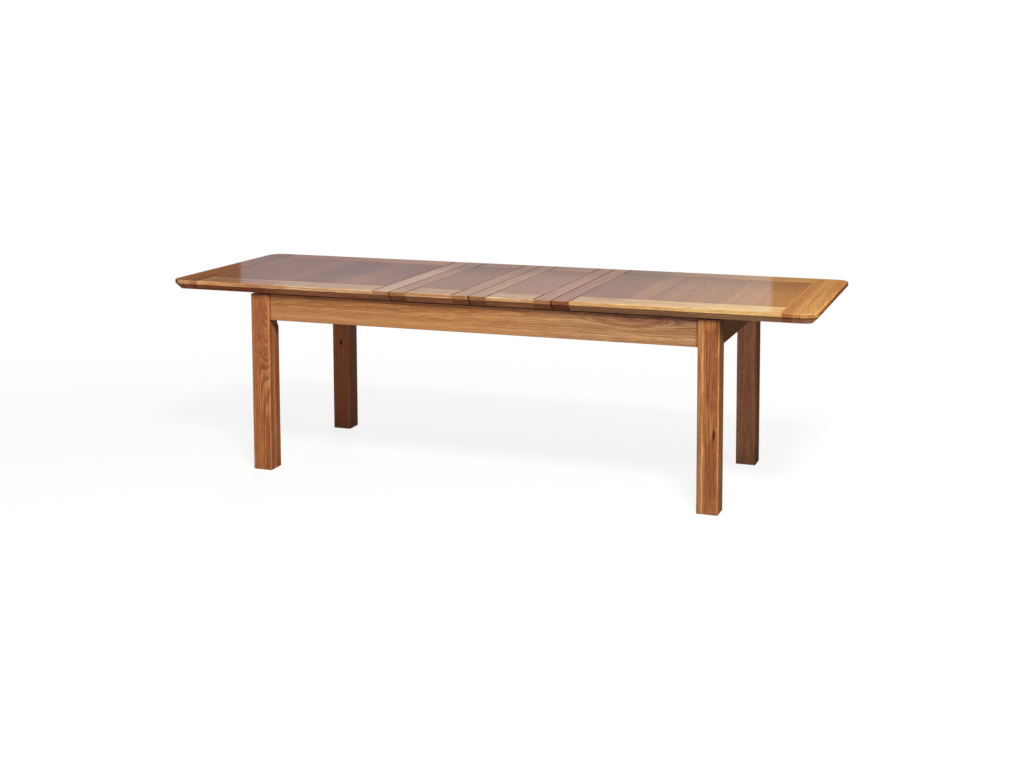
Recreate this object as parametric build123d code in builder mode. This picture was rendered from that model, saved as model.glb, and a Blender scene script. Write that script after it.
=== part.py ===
from build123d import *
import math
import os

# Solid oak extension dining table, pulled out with both insert leaves in place.
# X runs along the table, Y across it (the front is -Y) and Z up. The origin is on the floor under
# the middle of the table. The two halves of the top slide outwards on runners inside a fixed leg
# frame, and the two leaves lie between them and lift straight out. Millimetres throughout.

# Overall sizes
table_height = 775.0
table_width = 880.0
half_length = 990.0         # one half of the top; the closed table is two of these long
leaf_length = 333.0         # one insert leaf with its share of the seams

# Top
top_thickness = 38.0
edge_band = 15.0            # upright band of the edge, above the undercut bevel
corner_radius = 55.0
top_arris = 2.5
seam = 1.0                  # gap between the halves and the leaves
seam_arris = 1.0            # eased edges of the boards at the seams
end_board_width = 130.0
long_rail_width = 135.0
cross_rail_width = 70.0
panel_thickness = 20.0
panel_gap = 0.3             # joint round each panel
panel_arris = 0.8
tongue_thickness = 8.0
tongue_length = 10.0
groove_fit = 0.2            # round the tongues of the panels
groove_spare = 2.0          # room for the panel to move with the seasons
batten_width = 50.0
leaf_batten_drop = 10.0     # how far a leaf's batten hangs between the guide rails
leaf_batten_fit = 3.0       # between that lower part and the guide rails
dowel_diameter = 10.0
dowel_length = 80.0
dowel_spacing = 70.0
dowel_fit = 0.1

# Leg frame
end_overhang = 23.0         # closed top past the legs
side_overhang = 36.0
glide_height = 8.0          # gap between the frame and the top
leg_size = 82.0
leg_arris = 4.0
leg_foot_chamfer = 1.5
leg_chamfer = 14.0          # inner corner, cut back for the hanger bolt
leg_chamfer_length = 147.0
leg_chamfer_runout = 22.0
pad_diameter = 36.0
pad_height = 2.0
apron_height = 105.0
apron_thickness = 25.0
apron_recess = 6.0
apron_arris = 1.5
tenon_length = 30.0
tenon_thickness = 12.0
tenon_shoulder = 15.0
tenon_fit = 0.2

# Slides
rail_height = 50.0
groove_height = 12.0
groove_depth = 15.0
runner_width = 30.0
runner_height = 50.0
runner_fit = 1.0            # sideways gap between runner and guide rail
slide_fit = 0.5             # round the runner's tongue in its groove
over_travel = 30.0          # past the extended place, to free the leaves
stop_thickness = 15.0
stop_gap = 2.0
glide_strip_width = 20.0
glide_strip_inset = 8.0     # from the legs' outer faces at the ends
stretcher_height = 40.0
side_stretcher_width = 60.0
side_stretcher_place = 470.0
centre_stretcher_width = 80.0
centre_glide_width = 40.0
centre_glide_inset = 30.0   # from the guide rails
centre_fit = 0.5
travel_fit = 5.0            # room at the ends of a runner's way

# Corner blocks and fasteners
block_thickness = 30.0
block_clearance = 5.0       # under the guide rail
block_gap = 1.5             # between block and leg, drawn up by the bolt
block_rise = 4.0            # above the apron's lower edge
bolt_diameter = 8.0
bolt_in_leg = 45.0
bolt_past_nut = 5.0
bolt_fit = 0.1
bolt_hole_fit = 0.5
washer_diameter = 20.0
washer_thickness = 2.0
nut_across_flats = 13.0
nut_height = 6.5
screw_diameter = 5.0
screw_head_diameter = 9.5
screw_head_height = 3.0
screw_point = 6.0
screw_fit = 0.1
rail_screws_each = 8
rail_screw_inset = 108.0    # from the legs to the first screw
rail_screw_depth = 14.0     # of the head's pocket in the guide rail
rail_screw_bite = 15.0      # into the apron
block_screw_depth = 10.0    # wood left under the head
block_screw_bite = 16.0     # into the apron
stretcher_screw_depth = 8.0
stretcher_screw_bite = 16.0     # into the guide rail
runner_screw_inset = 9.0    # from a runner's inner face
runner_screw_depth = 16.0
runner_screw_bite = 10.0    # into the battens and the boards above

# Levels
top_under = table_height - top_thickness
band_under = table_height - edge_band
bevel = band_under - top_under
corner_radius_under = corner_radius - bevel
panel_under = table_height - panel_thickness
dowel_level = top_under + top_thickness / 2
tongue_level = panel_under + tongue_thickness
leg_top = top_under - glide_height
apron_under = leg_top - apron_height
rail_under = leg_top - rail_height
groove_level = leg_top - rail_height / 2
runner_under = top_under - runner_height
stretcher_under = rail_under - stretcher_height
block_under = apron_under + block_rise
block_height = rail_under - block_clearance - block_under
block_middle = block_under + block_height / 2

# Places along X and Y, on the side where both are positive
extended_length = 2 * (half_length + leaf_length)
half_width = table_width / 2
half_inner = leaf_length + seam / 2
half_outer = half_length + leaf_length
frame_x = half_length - end_overhang
frame_y = half_width - side_overhang
leg_x = frame_x - leg_size
leg_y = frame_y - leg_size
apron_out_x = frame_x - apron_recess
apron_out_y = frame_y - apron_recess
apron_in_x = apron_out_x - apron_thickness
apron_in_y = apron_out_y - apron_thickness
panel_y = half_width - long_rail_width
runner_y = leg_y - runner_fit
runner_in_y = runner_y - runner_width
runner_start = leaf_length + centre_stretcher_width / 2 + travel_fit
stop_x = apron_in_x - stop_thickness
runner_end = stop_x - stop_gap - over_travel
tongue_end = leg_x - over_travel - travel_fit
strip_y = (leg_y + apron_in_y) / 2
batten_places = (runner_start + 2 * batten_width, runner_end - batten_width)
runner_holds = ((runner_start + half_inner + cross_rail_width) / 2, *batten_places)

# Lengths of the screws under their heads
rail_screw_length = apron_in_y - leg_y - rail_screw_depth + rail_screw_bite
block_screw_length = block_screw_depth + block_screw_bite
stretcher_screw_length = stretcher_height - stretcher_screw_depth + stretcher_screw_bite
runner_screw_length = runner_height - runner_screw_depth + runner_screw_bite

SIDES = (("left", -1), ("right", 1))
EDGES = (("front", -1), ("back", 1))
CORNERS = [(f"{edge}_{side}", sx, sy) for side, sx in SIDES for edge, sy in EDGES]
AHEAD = (Align.CENTER, Align.CENTER, Align.MIN)
BEHIND = (Align.CENTER, Align.CENTER, Align.MAX)

os.makedirs("parts", exist_ok=True)


def save(builder, label):
    """Name a finished piece and write it."""
    builder.part.label = label
    export_step(builder.part, f"parts/{label}.step")


def box_between(x, y, z, mode=Mode.ADD):
    """A box between two X, two Y and two Z limits, in the part being built."""
    with Locations(((x[0] + x[1]) / 2, (y[0] + y[1]) / 2, (z[0] + z[1]) / 2)):
        Box(abs(x[1] - x[0]), abs(y[1] - y[0]), abs(z[1] - z[0]), mode=mode)


def screw_holes(seats, length, depth):
    """Hole and head pocket of each screw; a seat is the plane under the head."""
    with Locations(*seats):
        Cylinder(screw_diameter / 2 + screw_fit, length + screw_fit, align=AHEAD, mode=Mode.SUBTRACT)
        Cylinder(screw_head_diameter / 2 + screw_fit, depth, align=BEHIND, mode=Mode.SUBTRACT)


def screws(label, seats, length):
    """One node of equal pan-head screws, driven along the seats' normals."""
    with BuildPart() as group:
        with Locations(*seats):
            Cylinder(screw_diameter / 2, length - screw_point, align=AHEAD)
            Cylinder(screw_head_diameter / 2, screw_head_height, align=BEHIND)
        with Locations(*[seat.offset(length - screw_point) for seat in seats]):
            Cone(screw_diameter / 2, screw_diameter / 10, screw_point, align=AHEAD)
    save(group, label)


# ---------------------------------------------------------------- leg frame

def hanger_plane(sx, sy, along):
    """Plane across a hanger bolt, facing the leg, at a distance from the leg's inner corner."""
    step = along / math.sqrt(2)
    return Plane(
        origin=(sx * (leg_x + step), sy * (leg_y + step), block_middle),
        x_dir=(0, 0, 1),
        z_dir=(sx, sy, 0),
    )


chamfer_depth = leg_chamfer / math.sqrt(2)
block_front = chamfer_depth - block_gap
block_back = block_front - block_thickness
bolt_start = block_back - washer_thickness - nut_height - bolt_past_nut
bolt_length = chamfer_depth + bolt_in_leg - bolt_start

# X + Y along the corner block's two long faces and along its middle
front_line = leg_x + leg_y + block_front * math.sqrt(2)
back_line = leg_x + leg_y + block_back * math.sqrt(2)
middle_line = (front_line + back_line) / 2

long_apron_seats = [
    Plane(origin=(sx * (middle_line - apron_in_y), sy * (apron_in_y - block_screw_depth), block_middle),
          z_dir=(0, sy, 0))
    for name, sx, sy in CORNERS
]
end_apron_seats = [
    Plane(origin=(sx * (apron_in_x - block_screw_depth), sy * (middle_line - apron_in_x), block_middle),
          z_dir=(sx, 0, 0))
    for name, sx, sy in CORNERS
]
block_screw_seats = long_apron_seats + end_apron_seats

rail_screw_step = 2 * (leg_x - rail_screw_inset) / (rail_screws_each - 1)
rail_screw_places = [rail_screw_inset - leg_x + i * rail_screw_step for i in range(rail_screws_each)]
rail_screw_level = (rail_under + groove_level - groove_height / 2) / 2
rail_screw_seats = {
    sy: [
        Plane(origin=(x, sy * (leg_y + rail_screw_depth), rail_screw_level), z_dir=(0, sy, 0))
        for x in rail_screw_places
    ]
    for name, sy in EDGES
}
stretcher_places = (-side_stretcher_place, 0.0, side_stretcher_place)
stretcher_screw_seats = {
    sy: [
        Plane(origin=(x, sy * strip_y, stretcher_under + stretcher_screw_depth), z_dir=(0, 0, 1))
        for x in stretcher_places
    ]
    for name, sy in EDGES
}


def tenons(lower, upper, across, along_x, fit=0.0, mode=Mode.ADD):
    """Tenon past an apron's end, or with a fit the mortise for it in the leg."""
    middle = across - math.copysign(apron_thickness / 2, across)
    thick = (middle - tenon_thickness / 2 - fit, middle + tenon_thickness / 2 + fit)
    high = (apron_under + tenon_shoulder - fit, leg_top - tenon_shoulder + fit)
    if along_x:
        box_between((lower, upper), thick, high, mode)
    else:
        box_between(thick, (lower, upper), high, mode)


for name, sx, sy in CORNERS:
    with BuildPart() as leg:
        with BuildSketch(Plane.XY.offset(pad_height)):
            with Locations((sx * (frame_x - leg_size / 2), sy * (frame_y - leg_size / 2))):
                Rectangle(leg_size, leg_size)
        extrude(amount=leg_top - pad_height)
        fillet(leg.edges().filter_by(Axis.Z), leg_arris)
        chamfer(leg.faces().sort_by(Axis.Z)[0].edges(), leg_foot_chamfer)
        # stopped chamfer on the inner corner, drawn in the upright plane through its middle
        with BuildSketch(Plane((sx * leg_x, sy * leg_y, leg_top), (sx, sy, 0), (sy, -sx, 0))):
            with BuildLine():
                Polyline(
                    (-leg_chamfer, 0),
                    (chamfer_depth, 0),
                    (chamfer_depth, leg_chamfer_runout - leg_chamfer_length),
                    (0, -leg_chamfer_length),
                    (-leg_chamfer, -leg_chamfer_length),
                    close=True,
                )
            make_face()
        extrude(amount=leg_size / 2, both=True, mode=Mode.SUBTRACT)
        reach = tenon_length + tenon_fit
        tenons(sx * leg_x, sx * (leg_x + reach), sy * apron_out_y, True, tenon_fit, Mode.SUBTRACT)
        tenons(sy * leg_y, sy * (leg_y + reach), sx * apron_out_x, False, tenon_fit, Mode.SUBTRACT)
        with Locations(hanger_plane(sx, sy, 0)):
            Cylinder(bolt_diameter / 2 + bolt_fit, chamfer_depth + bolt_in_leg + bolt_fit, align=AHEAD,
                     mode=Mode.SUBTRACT)
    save(leg, f"leg_{name}")

with BuildPart() as floor_pads:
    with BuildSketch(Plane.XY):
        with GridLocations(2 * frame_x - leg_size, 2 * frame_y - leg_size, 2, 2):
            Circle(pad_diameter / 2)
    extrude(amount=pad_height)
save(floor_pads, "floor_pads")

for name, sy in EDGES:
    with BuildPart() as apron:
        box_between((-leg_x, leg_x), (sy * apron_in_y, sy * apron_out_y), (apron_under, leg_top))
        lower_edges = apron.faces().sort_by(Axis.Z)[0].edges().filter_by(Axis.X)
        chamfer(lower_edges, apron_arris)
        tenons(-leg_x - tenon_length, -leg_x, sy * apron_out_y, True)
        tenons(leg_x, leg_x + tenon_length, sy * apron_out_y, True)
        screw_holes(rail_screw_seats[sy], rail_screw_length, rail_screw_depth)
        screw_holes(long_apron_seats, block_screw_length, block_screw_depth)
    save(apron, f"apron_{name}")

for name, sx in SIDES:
    with BuildPart() as apron:
        box_between((sx * apron_in_x, sx * apron_out_x), (-leg_y, leg_y), (apron_under, leg_top))
        lower_edges = apron.faces().sort_by(Axis.Z)[0].edges().filter_by(Axis.Y)
        chamfer(lower_edges, apron_arris)
        tenons(-leg_y - tenon_length, -leg_y, sx * apron_out_x, False)
        tenons(leg_y, leg_y + tenon_length, sx * apron_out_x, False)
        screw_holes(end_apron_seats, block_screw_length, block_screw_depth)
    save(apron, f"apron_{name}")

for name, sx, sy in CORNERS:
    with BuildPart() as corner_block:
        with BuildSketch(Plane.XY.offset(block_under)):
            with BuildLine():
                Polyline(
                    (sx * (front_line - apron_in_y), sy * apron_in_y),
                    (sx * apron_in_x, sy * (front_line - apron_in_x)),
                    (sx * apron_in_x, sy * (back_line - apron_in_x)),
                    (sx * (back_line - apron_in_y), sy * apron_in_y),
                    close=True,
                )
            make_face()
        extrude(amount=block_height)
        with Locations(hanger_plane(sx, sy, block_back)):
            Cylinder(bolt_diameter / 2 + bolt_hole_fit, block_thickness, align=AHEAD, mode=Mode.SUBTRACT)
        screw_holes(block_screw_seats, block_screw_length, block_thickness)
    save(corner_block, f"corner_block_{name}")

with BuildPart() as hanger_bolts:
    with Locations(*[hanger_plane(sx, sy, bolt_start) for name, sx, sy in CORNERS]):
        Cylinder(bolt_diameter / 2, bolt_length, align=AHEAD)
save(hanger_bolts, "hanger_bolts")

with BuildPart() as hanger_washers:
    with Locations(*[hanger_plane(sx, sy, block_back) for name, sx, sy in CORNERS]):
        Cylinder(washer_diameter / 2, washer_thickness, align=BEHIND)
        Cylinder(bolt_diameter / 2 + bolt_fit, washer_thickness, align=BEHIND, mode=Mode.SUBTRACT)
save(hanger_washers, "hanger_washers")

with BuildPart() as hanger_nuts:
    for name, sx, sy in CORNERS:
        with BuildSketch(hanger_plane(sx, sy, block_back - washer_thickness)):
            RegularPolygon(nut_across_flats / 2, 6, major_radius=False)
            Circle(bolt_diameter / 2 + bolt_fit, mode=Mode.SUBTRACT)
        extrude(amount=-nut_height)
save(hanger_nuts, "hanger_nuts")

screws("block_screws", block_screw_seats, block_screw_length)

# ---------------------------------------------------------------- slides in the frame

for name, sy in EDGES:
    with BuildPart() as guide_rail:
        box_between((-leg_x, leg_x), (sy * leg_y, sy * apron_in_y), (rail_under, leg_top))
        box_between((-leg_x, leg_x), (sy * leg_y, sy * (leg_y + groove_depth)),
                    (groove_level - groove_height / 2, groove_level + groove_height / 2), Mode.SUBTRACT)
        screw_holes(rail_screw_seats[sy], rail_screw_length, rail_screw_depth)
        screw_holes(stretcher_screw_seats[sy], stretcher_screw_length, stretcher_screw_depth)
    save(guide_rail, f"guide_rail_{name}")

screws("rail_screws", rail_screw_seats[-1] + rail_screw_seats[1], rail_screw_length)

for name, sx in SIDES:
    x = sx * side_stretcher_place
    with BuildPart() as stretcher:
        box_between((x - side_stretcher_width / 2, x + side_stretcher_width / 2),
                    (-apron_in_y, apron_in_y), (stretcher_under, rail_under))
        for seats in stretcher_screw_seats.values():
            screw_holes(seats, stretcher_screw_length, stretcher_screw_depth)
    save(stretcher, f"stretcher_{name}")

# raised between the guide rails, to carry the meeting edges of the leaves
with BuildPart() as centre_stretcher:
    across_centre = (-centre_stretcher_width / 2, centre_stretcher_width / 2)
    box_between(across_centre, (-apron_in_y, apron_in_y), (stretcher_under, rail_under))
    box_between(across_centre, (centre_fit - leg_y, leg_y - centre_fit), (rail_under, leg_top))
    for seats in stretcher_screw_seats.values():
        screw_holes(seats, stretcher_screw_length, stretcher_screw_depth)
save(centre_stretcher, "stretcher_centre")

screws("stretcher_screws", stretcher_screw_seats[-1] + stretcher_screw_seats[1], stretcher_screw_length)

with BuildPart() as glide_strips:
    for name, sy in EDGES:
        box_between((glide_strip_inset - frame_x, frame_x - glide_strip_inset),
                    (sy * strip_y - glide_strip_width / 2, sy * strip_y + glide_strip_width / 2),
                    (leg_top, top_under))
    box_between((-centre_glide_width / 2, centre_glide_width / 2),
                (centre_glide_inset - leg_y, leg_y - centre_glide_inset), (leg_top, top_under))
save(glide_strips, "glide_strips")

with BuildPart() as stop_blocks:
    for name, sx, sy in CORNERS:
        box_between((sx * stop_x, sx * apron_in_x), (sy * runner_in_y, sy * runner_y),
                    (runner_under, leg_top))
save(stop_blocks, "stop_blocks")

# ---------------------------------------------------------------- top

# Outline of the whole extended top, from which each board takes its edges: a rounded band over
# an undercut bevel at 45 degrees
with BuildPart() as top_blank:
    with BuildSketch(Plane.XY.offset(top_under)):
        RectangleRounded(extended_length - 2 * bevel, table_width - 2 * bevel, corner_radius_under)
    with BuildSketch(Plane.XY.offset(band_under)):
        RectangleRounded(extended_length, table_width, corner_radius)
    loft(ruled=True)
    with BuildSketch(Plane.XY.offset(band_under)):
        RectangleRounded(extended_length, table_width, corner_radius)
    extrude(amount=edge_band)
    fillet(top_blank.faces().sort_by(Axis.Z)[-1].edges(), top_arris)


def dowel_planes(joints):
    """Middle of each dowel across the joints at these X places, two at the front and two at the back."""
    middle = half_width - long_rail_width / 2
    return [
        Plane(origin=(x, sy * middle + side * dowel_spacing / 2, dowel_level), z_dir=(1, 0, 0))
        for x in joints for name, sy in EDGES for side in (-1, 1)
    ]


def board(label, x, y, joints, seams, screw_seats):
    """One board of the top's frame, grooved for the panel and bored for its dowels and screws."""
    groove = tongue_length + groove_spare
    with BuildPart() as piece:
        add(top_blank.part)
        box_between(x, y, (top_under, table_height), Mode.INTERSECT)
        for place in seams:
            seam_face = piece.faces().filter_by(Axis.X).sort_by(lambda face: abs(face.center().X - place))[0]
            chamfer(seam_face.edges().sort_by(Axis.Z)[1:], seam_arris)
        box_between((joints[0] - groove, joints[1] + groove), (-panel_y - groove, panel_y + groove),
                    (tongue_level - tongue_thickness / 2 - groove_fit,
                     tongue_level + tongue_thickness / 2 + groove_fit), Mode.SUBTRACT)
        with Locations(*dowel_planes(joints)):
            Cylinder(dowel_diameter / 2 + dowel_fit, dowel_length + dowel_fit, mode=Mode.SUBTRACT)
        if screw_seats:
            screw_holes(screw_seats, runner_screw_length, runner_screw_depth)
    save(piece, label)


def top_frame(prefix, sx, inner, outer, inner_board, outer_board, outer_seam=False, screw_seats=()):
    """A framed panel of the top on one side, from its board nearest the middle to its outer board."""
    inner_name, inner_width = inner_board
    outer_name, outer_width = outer_board
    inner_joint = sx * (inner + inner_width)
    outer_joint = sx * (outer - outer_width)
    joints = sorted((inner_joint, outer_joint))
    across = (-half_width, half_width)
    outer_seams = (sx * outer,) if outer_seam else ()
    board(f"{prefix}_{inner_name}", (sx * inner, inner_joint), across, joints, (sx * inner,), screw_seats)
    board(f"{prefix}_{outer_name}", (outer_joint, sx * outer), across, joints, outer_seams, ())
    for name, sy in EDGES:
        board(f"{prefix}_{name}_rail", joints, (sy * panel_y, sy * half_width), joints, (),
              screw_seats)
    with BuildPart() as panel:
        box_between((joints[0] + panel_gap, joints[1] - panel_gap),
                    (panel_gap - panel_y, panel_y - panel_gap), (panel_under, table_height))
        chamfer(panel.faces().sort_by(Axis.Z)[-1].edges(), panel_arris)
        box_between((joints[0] - tongue_length, joints[1] + tongue_length),
                    (-panel_y - tongue_length, panel_y + tongue_length),
                    (tongue_level - tongue_thickness / 2, tongue_level + tongue_thickness / 2))
    save(panel, f"{prefix}_panel")
    with BuildPart() as dowels:
        with Locations(*dowel_planes(joints)):
            Cylinder(dowel_diameter / 2, dowel_length)
    save(dowels, f"{prefix}_dowels")


for name, sx in SIDES:
    half = f"{name}_top"
    runner_screw_seats = [
        Plane(origin=(sx * x, sy * (runner_in_y + runner_screw_inset), runner_under + runner_screw_depth),
              z_dir=(0, 0, 1))
        for x in runner_holds for edge, sy in EDGES
    ]
    top_frame(half, sx, half_inner, half_outer, ("cross_rail", cross_rail_width),
              ("end_board", end_board_width), screw_seats=runner_screw_seats)

    # two battens under the panel, to which the runners are screwed
    with BuildPart() as battens:
        for place in batten_places:
            box_between((sx * place - batten_width / 2, sx * place + batten_width / 2),
                        (-panel_y, panel_y), (top_under, panel_under))
        screw_holes(runner_screw_seats, runner_screw_length, runner_screw_depth)
    save(battens, f"{half}_battens")

    for edge, sy in EDGES:
        with BuildPart() as runner:
            box_between((sx * runner_start, sx * runner_end), (sy * runner_in_y, sy * runner_y),
                        (runner_under, top_under))
            box_between((sx * runner_start, sx * tongue_end),
                        (sy * runner_y, sy * (leg_y + groove_depth - slide_fit)),
                        (groove_level - groove_height / 2 + slide_fit,
                         groove_level + groove_height / 2 - slide_fit))
            screw_holes(runner_screw_seats, runner_screw_length, runner_screw_depth)
        save(runner, f"{half}_{edge}_runner")

    screws(f"{half}_runner_screws", runner_screw_seats, runner_screw_length)

for name, sx in SIDES:
    leaf = f"leaf_{name}"
    top_frame(leaf, sx, seam / 2, leaf_length - seam / 2, ("inner_rail", cross_rail_width),
              ("outer_rail", cross_rail_width), outer_seam=True)
    middle = sx * leaf_length / 2
    across_batten = (middle - batten_width / 2, middle + batten_width / 2)
    with BuildPart() as batten:
        box_between(across_batten, (-panel_y, panel_y), (top_under, panel_under))
        # the lower part drops between the guide rails and keeps the leaf in line
        box_between(across_batten, (leaf_batten_fit - leg_y, leg_y - leaf_batten_fit),
                    (top_under - leaf_batten_drop, top_under))
    save(batten, f"{leaf}_batten")
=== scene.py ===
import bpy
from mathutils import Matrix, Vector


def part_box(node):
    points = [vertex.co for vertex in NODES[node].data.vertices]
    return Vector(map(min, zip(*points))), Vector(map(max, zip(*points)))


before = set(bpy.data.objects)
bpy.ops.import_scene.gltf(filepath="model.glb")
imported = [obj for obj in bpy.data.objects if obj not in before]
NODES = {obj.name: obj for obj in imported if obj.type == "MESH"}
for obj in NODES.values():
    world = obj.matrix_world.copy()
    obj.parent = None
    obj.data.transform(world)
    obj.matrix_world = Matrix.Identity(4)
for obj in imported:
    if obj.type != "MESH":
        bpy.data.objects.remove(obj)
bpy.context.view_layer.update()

import math

import bpy
import numpy as np
from mathutils import Vector

bl_info = {
    "name": "Extension dining table",
    "version": (1, 0, 0),
    "blender": (4, 5, 0),
    "location": "View3D > Sidebar > Table",
    "description": "Oak, hardware and a plain studio for an extension dining table",
    "category": "Object",
}

# The frame's nodes, and the two corners of each one's box in metres
BOXES = {name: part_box(name) for name in NODES}


# ---------------------------------------------------------------- colours

def four(colour):
    """A colour with its alpha."""
    return (*colour[:3], 1.0)


def between(first, second, share):
    """A colour between two others."""
    return tuple(a + (b - a) * share for a, b in zip(first, second))


def shaded(colour, share):
    """A colour made darker, or lighter by a share over 1."""
    return tuple(share * value for value in colour)


def times(colour, tint):
    """A colour multiplied by another."""
    return tuple(a * b for a, b in zip(colour, tint))


# ---------------------------------------------------------------- shader trees

class Tree:
    """Fills a shader tree: each method adds a node and returns its output."""

    def __init__(self, tree):
        self.tree = tree

    def node(self, kind, inputs=None, **settings):
        """A node with its settings, and its inputs by name or number."""
        made = self.tree.nodes.new(kind)
        for name, value in settings.items():
            setattr(made, name, value)
        for key, value in (inputs or {}).items():
            self.feed(made.inputs[key], value)
        return made

    def feed(self, socket, value):
        """Link an output into a socket, or set the socket itself."""
        if isinstance(value, bpy.types.NodeSocket):
            self.tree.links.new(value, socket)
        else:
            socket.default_value = value

    def math(self, operation, *values, clamp=False):
        made = self.node("ShaderNodeMath", dict(enumerate(values)), operation=operation, use_clamp=clamp)
        return made.outputs[0]

    def times(self, value, by, clamp=False):
        return self.math("MULTIPLY", value, by, clamp=clamp)

    def times_plus(self, value, by, plus, clamp=False):
        return self.math("MULTIPLY_ADD", value, by, plus, clamp=clamp)

    def less(self, value, by):
        return self.math("SUBTRACT", value, by)

    def vector(self, operation, *values):
        made = self.node("ShaderNodeVectorMath", dict(enumerate(values)), operation=operation)
        single = operation in ("DOT_PRODUCT", "LENGTH")
        return made.outputs["Value" if single else "Vector"]

    def scale(self, vector, factors):
        return self.vector("MULTIPLY", vector, factors)

    def parts(self, vector):
        return self.node("ShaderNodeSeparateXYZ", {0: vector}).outputs

    def join(self, x, y, z):
        return self.node("ShaderNodeCombineXYZ", {0: x, 1: y, 2: z}).outputs[0]

    def mix(self, factor, first, second, blend="MIX"):
        """A mix of two colours."""
        made = self.node("ShaderNodeMix", data_type="RGBA", blend_type=blend, clamp_factor=True)
        for index, value in ((0, factor), (6, first), (7, second)):
            self.feed(made.inputs[index], value)
        return made.outputs[2]

    def tint(self, colour, by):
        """A colour multiplied by another, which is an output or three numbers."""
        return self.mix(1.0, colour, by if isinstance(by, bpy.types.NodeSocket) else four(by), "MULTIPLY")

    def noise(self, vector, detail=2.0, roughness=0.5, kind="3D"):
        """Smooth noise from 0 to 1, one swell to a unit of the vector or number given."""
        inputs = {"Scale": 1.0, "Detail": detail, "Roughness": roughness}
        inputs["W" if kind == "1D" else "Vector"] = vector
        return self.node("ShaderNodeTexNoise", inputs, noise_dimensions=kind).outputs["Fac"]

    def ramp(self, value, low, high, start=0.0, end=1.0, smooth=True):
        """The value carried from one range to another, level outside it."""
        inputs = {"Value": value, "From Min": low, "From Max": high, "To Min": start, "To Max": end}
        kind = "SMOOTHSTEP" if smooth else "LINEAR"
        return self.node("ShaderNodeMapRange", inputs, interpolation_type=kind).outputs["Result"]

    def group(self, name, inputs):
        """One of the shared groups with this material's own values."""
        made = self.node("ShaderNodeGroup", node_tree=bpy.data.node_groups[name])
        for key, value in inputs.items():
            self.feed(made.inputs[key], value)
        return made.outputs


FLOAT, VECTOR, COLOUR = "NodeSocketFloat", "NodeSocketVector", "NodeSocketColor"


def new_group(name, inputs, outputs):
    """An empty shader group with its sockets, given in rows of a kind and its names: (tree, the group's
    inputs, its outputs to feed)."""
    group = bpy.data.node_groups.new(name, "ShaderNodeTree")
    for way, rows in (("INPUT", inputs), ("OUTPUT", outputs)):
        for kind, *labels in rows:
            for label in labels:
                group.interface.new_socket(label, in_out=way, socket_type=kind)
    tree = Tree(group)
    return tree, tree.node("NodeGroupInput").outputs, tree.node("NodeGroupOutput").inputs


# How fine the parts of the grain are, in swells of noise to a metre: along the log, and twice across it
SLOW_BEND = (1.6, 9, 9)
QUICK_BEND = (11, 50, 50)
HEART_CLOUDS = (0.9, 13, 13)
STREAKS = (13, 210, 210)
FIBRES = (8, 330, 330)
PORES = (60, 1300, 1300)
# The same for ray flecks: along the log, round it and out from its pith
RAY_FLECKS = (42, 620, 34)
# How much a seed shifts the noise each way
SEED_SHIFT = (7.1, 3.7, 5.3)
PORE_TINT = (0.34, 0.26, 0.22)
FLECK_TINT = (1.25, 1.3, 1.4)


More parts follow.
